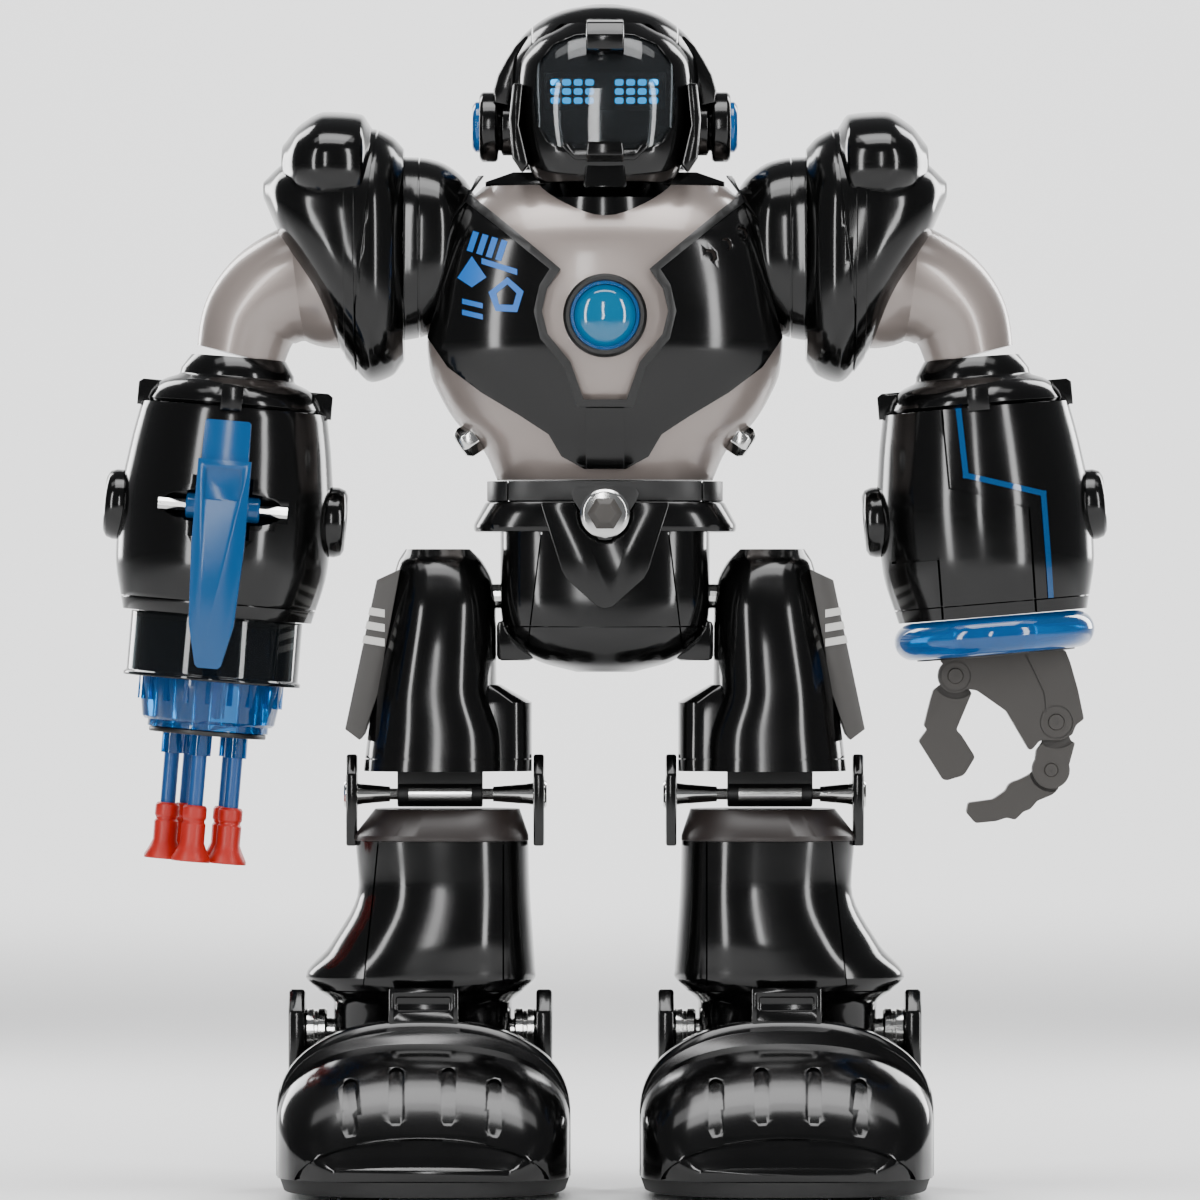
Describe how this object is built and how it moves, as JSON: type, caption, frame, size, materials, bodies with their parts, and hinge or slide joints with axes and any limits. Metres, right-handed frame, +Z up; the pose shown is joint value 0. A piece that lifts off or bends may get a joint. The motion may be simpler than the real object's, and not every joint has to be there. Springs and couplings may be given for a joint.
{
  "type": "toy robot",
  "caption": "Humanoid toy robot with broad shoulders, a visored head, a dart launcher forearm with a rocker trigger, a claw hand and large feet that roll on wheels.",
  "frame": {"origin": "on the ground, under the middle of the bounding box", "axes": "+Z up; the robot faces -Y; its right arm, with the launcher, is on -X"},
  "size_m": [0.3128, 0.13, 0.37],
  "materials": {
    "black_gloss": "polished gloss black ABS",
    "pearl_grey": "warm grey ABS with a pearl lacquer",
    "steel": "nickel-plated steel",
    "clear_blue": "translucent blue polycarbonate",
    "blue_plastic": "blue ABS",
    "smoked_clear": "dark smoked clear polycarbonate",
    "claw_grey": "dark warm grey satin ABS",
    "circuit_green": "solder mask on a circuit board",
    "dart_red": "soft red-orange vinyl cup on a blue shaft",
    "sole_rubber": "satin black polypropylene",
    "wheel_rubber": "matt black rubber",
    "switch_black": "satin black ABS"
  },
  "bodies": {
    "pelvis": {"pelvis_front": "black_gloss", "pelvis_back": "black_gloss", "waist_belt": "black_gloss", "hip_axle": "steel"},
    "waist_button": {"waist_button": "steel"},
    "torso": {"torso_front": "pearl_grey", "torso_back": "pearl_grey", "chest_armor": "black_gloss", "neck_collar": "black_gloss", "chest_lens": "clear_blue", "circuit_board": "circuit_green", "battery_box": "black_gloss", "shoulder_yoke_right": "black_gloss", "shoulder_yoke_left": "black_gloss"},
    "battery_door": {"battery_door": "pearl_grey"},
    "power_switch": {"power_switch": "switch_black"},
    "head": {"helmet_shell": "black_gloss", "visor_frame": "black_gloss", "visor_lens": "smoked_clear", "eye_led_board": "circuit_green", "ear_pod_right": "black_gloss", "ear_pod_left": "black_gloss"},
    "arm_right": {"upper_arm_right": "pearl_grey", "shoulder_armor_right": "black_gloss"},
    "forearm_right": {"forearm_cap_right": "black_gloss", "forearm_front_right": "black_gloss", "forearm_back_right": "black_gloss", "barrel_sleeve": "smoked_clear", "lever_pin": "steel"},
    "fire_lever": {"fire_lever": "blue_plastic"},
    "dart_drum": {"dart_drum": "clear_blue"},
    "dart_1": {"dart_1": "dart_red"},
    "dart_2": {"dart_2": "dart_red"},
    "dart_3": {"dart_3": "dart_red"},
    "dart_4": {"dart_4": "dart_red"},
    "dart_5": {"dart_5": "dart_red"},
    "arm_left": {"upper_arm_left": "pearl_grey", "shoulder_armor_left": "black_gloss"},
    "forearm_left": {"forearm_cap_left": "black_gloss", "forearm_front_left": "black_gloss", "forearm_back_left": "black_gloss", "glow_ring": "clear_blue", "claw_palm": "claw_grey"},
    "claw_thumb": {"claw_thumb": "claw_grey"},
    "claw_finger": {"claw_finger": "claw_grey"},
    "claw_fingertip": {"claw_fingertip": "claw_grey"},
    "thigh_right": {"thigh_right": "black_gloss"},
    "shin_right": {"shin_right": "black_gloss", "knee_pin_right": "steel"},
    "foot_right": {"foot_cover_right": "black_gloss", "sole_right": "sole_rubber"},
    "front_wheel_right": {"front_wheel_right": "wheel_rubber"},
    "rear_wheel_right": {"rear_wheel_right": "wheel_rubber"},
    "thigh_left": {"thigh_left": "black_gloss"},
    "shin_left": {"shin_left": "black_gloss", "knee_pin_left": "steel"},
    "foot_left": {"foot_cover_left": "black_gloss", "sole_left": "sole_rubber"},
    "front_wheel_left": {"front_wheel_left": "wheel_rubber"},
    "rear_wheel_left": {"rear_wheel_left": "wheel_rubber"}
  },
  "joints": [
    {"name": "waist_turn", "type": "hinge", "parent": "pelvis", "child": "torso", "pos_m": [0, 0.006, 0.222], "axis": [0, 0, 1], "range_deg": [-30, 30]},
    {"name": "waist_button_press", "type": "slide", "parent": "pelvis", "child": "waist_button", "axis": [0, 1, 0], "range_m": [0, 0.0015], "stiffness_N_per_m": 400, "springref_m": -0.001},
    {"name": "head_turn", "type": "hinge", "parent": "torso", "child": "head", "pos_m": [0, 0.006, 0.313], "axis": [0, 0, 1], "range_deg": [-30, 30]},
    {"name": "battery_door_hinge", "type": "hinge", "parent": "torso", "child": "battery_door", "pos_m": [0, 0.035, 0.238], "axis": [-1, 0, 0], "range_deg": [0, 95]},
    {"name": "power_switch_slide", "type": "slide", "parent": "torso", "child": "power_switch", "axis": [1, 0, 0], "range_m": [0, 0.004]},
    {"name": "shoulder_right_swing", "type": "hinge", "parent": "torso", "child": "arm_right", "pos_m": [0, 0.006, 0.288], "axis": [-1, 0, 0], "range_deg": [-35, 110]},
    {"name": "forearm_right_swivel", "type": "hinge", "parent": "arm_right", "child": "forearm_right", "pos_m": [-0.1138, 0.006, 0.2606], "axis": [0.0837, 0, 0.9965], "range_deg": [-40, 40]},
    {"name": "fire_lever_press", "type": "hinge", "parent": "forearm_right", "child": "fire_lever", "pos_m": [-0.11778, -0.021, 0.21317], "axis": [0.9965, 0, -0.0837], "range_deg": [0, 5], "stiffness_Nm_per_rad": 0.12, "springref_deg": -8.59},
    {"name": "dart_drum_index", "type": "hinge", "parent": "forearm_right", "child": "dart_drum", "pos_m": [-0.1138, 0.006, 0.2606], "axis": [0.0837, 0, 0.9965], "continuous": true},
    {"name": "dart_1_pull", "type": "slide", "parent": "dart_drum", "child": "dart_1", "axis": [-0.0837, 0, -0.9965], "range_m": [0, 0.06]},
    {"name": "dart_2_pull", "type": "slide", "parent": "dart_drum", "child": "dart_2", "axis": [-0.0837, 0, -0.9965], "range_m": [0, 0.06]},
    {"name": "dart_3_pull", "type": "slide", "parent": "dart_drum", "child": "dart_3", "axis": [-0.0837, 0, -0.9965], "range_m": [0, 0.06]},
    {"name": "dart_4_pull", "type": "slide", "parent": "dart_drum", "child": "dart_4", "axis": [-0.0837, 0, -0.9965], "range_m": [0, 0.06]},
    {"name": "dart_5_pull", "type": "slide", "parent": "dart_drum", "child": "dart_5", "axis": [-0.0837, 0, -0.9965], "range_m": [0, 0.06]},
    {"name": "shoulder_left_swing", "type": "hinge", "parent": "torso", "child": "arm_left", "pos_m": [0, 0.006, 0.288], "axis": [-1, 0, 0], "range_deg": [-35, 110]},
    {"name": "forearm_left_swivel", "type": "hinge", "parent": "arm_left", "child": "forearm_left", "pos_m": [0.1138, 0.006, 0.2606], "axis": [-0.0837, 0, 0.9965], "range_deg": [-80, 80]},
    {"name": "claw_thumb_curl", "type": "hinge", "parent": "forearm_left", "child": "claw_thumb", "pos_m": [0.1088, 0.006, 0.16123], "axis": [0, 1, 0], "range_deg": [-4, 30]},
    {"name": "claw_finger_curl", "type": "hinge", "parent": "forearm_left", "child": "claw_finger", "pos_m": [0.14011, 0.006, 0.1469], "axis": [0, -1, 0], "range_deg": [-4, 30]},
    {"name": "claw_fingertip_curl", "type": "hinge", "parent": "claw_finger", "child": "claw_fingertip", "pos_m": [0.13855, 0.006, 0.13202], "axis": [0, -1, 0], "range_deg": [-4, 25]},
    {"name": "hip_right", "type": "hinge", "parent": "pelvis", "child": "thigh_right", "pos_m": [0, 0.006, 0.186], "axis": [-1, 0, 0], "range_deg": [-12, 12]},
    {"name": "knee_right", "type": "hinge", "parent": "thigh_right", "child": "shin_right", "pos_m": [0, 0.006, 0.1245], "axis": [1, 0, 0], "range_deg": [0, 18]},
    {"name": "ankle_right", "type": "hinge", "parent": "shin_right", "child": "foot_right", "pos_m": [0, 0.006, 0.051], "axis": [-1, 0, 0], "range_deg": [-10, 10]},
    {"name": "front_wheel_right_spin", "type": "hinge", "parent": "foot_right", "child": "front_wheel_right", "pos_m": [0, -0.039, 0.009], "axis": [1, 0, 0], "continuous": true},
    {"name": "rear_wheel_right_spin", "type": "hinge", "parent": "foot_right", "child": "rear_wheel_right", "pos_m": [0, 0.044, 0.009], "axis": [1, 0, 0], "continuous": true},
    {"name": "hip_left", "type": "hinge", "parent": "pelvis", "child": "thigh_left", "pos_m": [0, 0.006, 0.186], "axis": [-1, 0, 0], "range_deg": [-12, 12]},
    {"name": "knee_left", "type": "hinge", "parent": "thigh_left", "child": "shin_left", "pos_m": [0, 0.006, 0.1245], "axis": [1, 0, 0], "range_deg": [0, 18]},
    {"name": "ankle_left", "type": "hinge", "parent": "shin_left", "child": "foot_left", "pos_m": [0, 0.006, 0.051], "axis": [-1, 0, 0], "range_deg": [-10, 10]},
    {"name": "front_wheel_left_spin", "type": "hinge", "parent": "foot_left", "child": "front_wheel_left", "pos_m": [0, -0.039, 0.009], "axis": [1, 0, 0], "continuous": true},
    {"name": "rear_wheel_left_spin", "type": "hinge", "parent": "foot_left", "child": "rear_wheel_left", "pos_m": [0, 0.044, 0.009], "axis": [1, 0, 0], "continuous": true}
  ]
}
